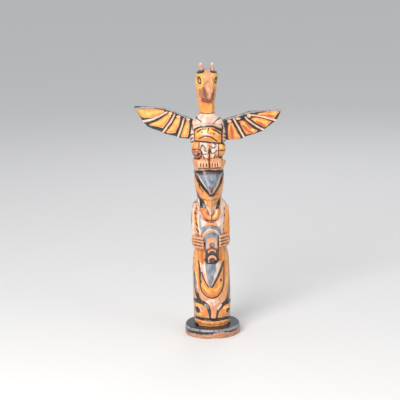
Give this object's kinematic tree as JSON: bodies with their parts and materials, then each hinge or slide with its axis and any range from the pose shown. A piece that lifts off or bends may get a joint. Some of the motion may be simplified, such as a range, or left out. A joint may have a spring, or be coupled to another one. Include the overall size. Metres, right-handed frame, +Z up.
{
  "type": "model totem pole",
  "caption": "Carved and painted wooden model totem pole on a round base: a thunderbird with spread wings above a long-beaked figure holding a creature, over a wide face.",
  "frame": {"origin": "centre of the base's underside, where it meets the table", "axes": "+Z up the pole, -Y towards the viewer in front of the carved faces, +X towards the viewer's right"},
  "size_m": [0.2392, 0.096, 0.4515],
  "materials": {
    "painted_softwood": "varnished softwood, stained orange and painted in black, blue-grey, pink and red",
    "black_painted_wood": "gloss black paint over the top and upper edge, bare wood below",
    "painted_board": "varnished board, orange feathers outlined in black",
    "bare_peg": "bare dowel, lightly varnished"
  },
  "bodies": {
    "root": {"pole": "painted_softwood", "base_disc": "black_painted_wood", "wing_left": "painted_board", "wing_right": "painted_board", "horn_left": "bare_peg", "horn_right": "bare_peg"}
  },
  "joints": []
}
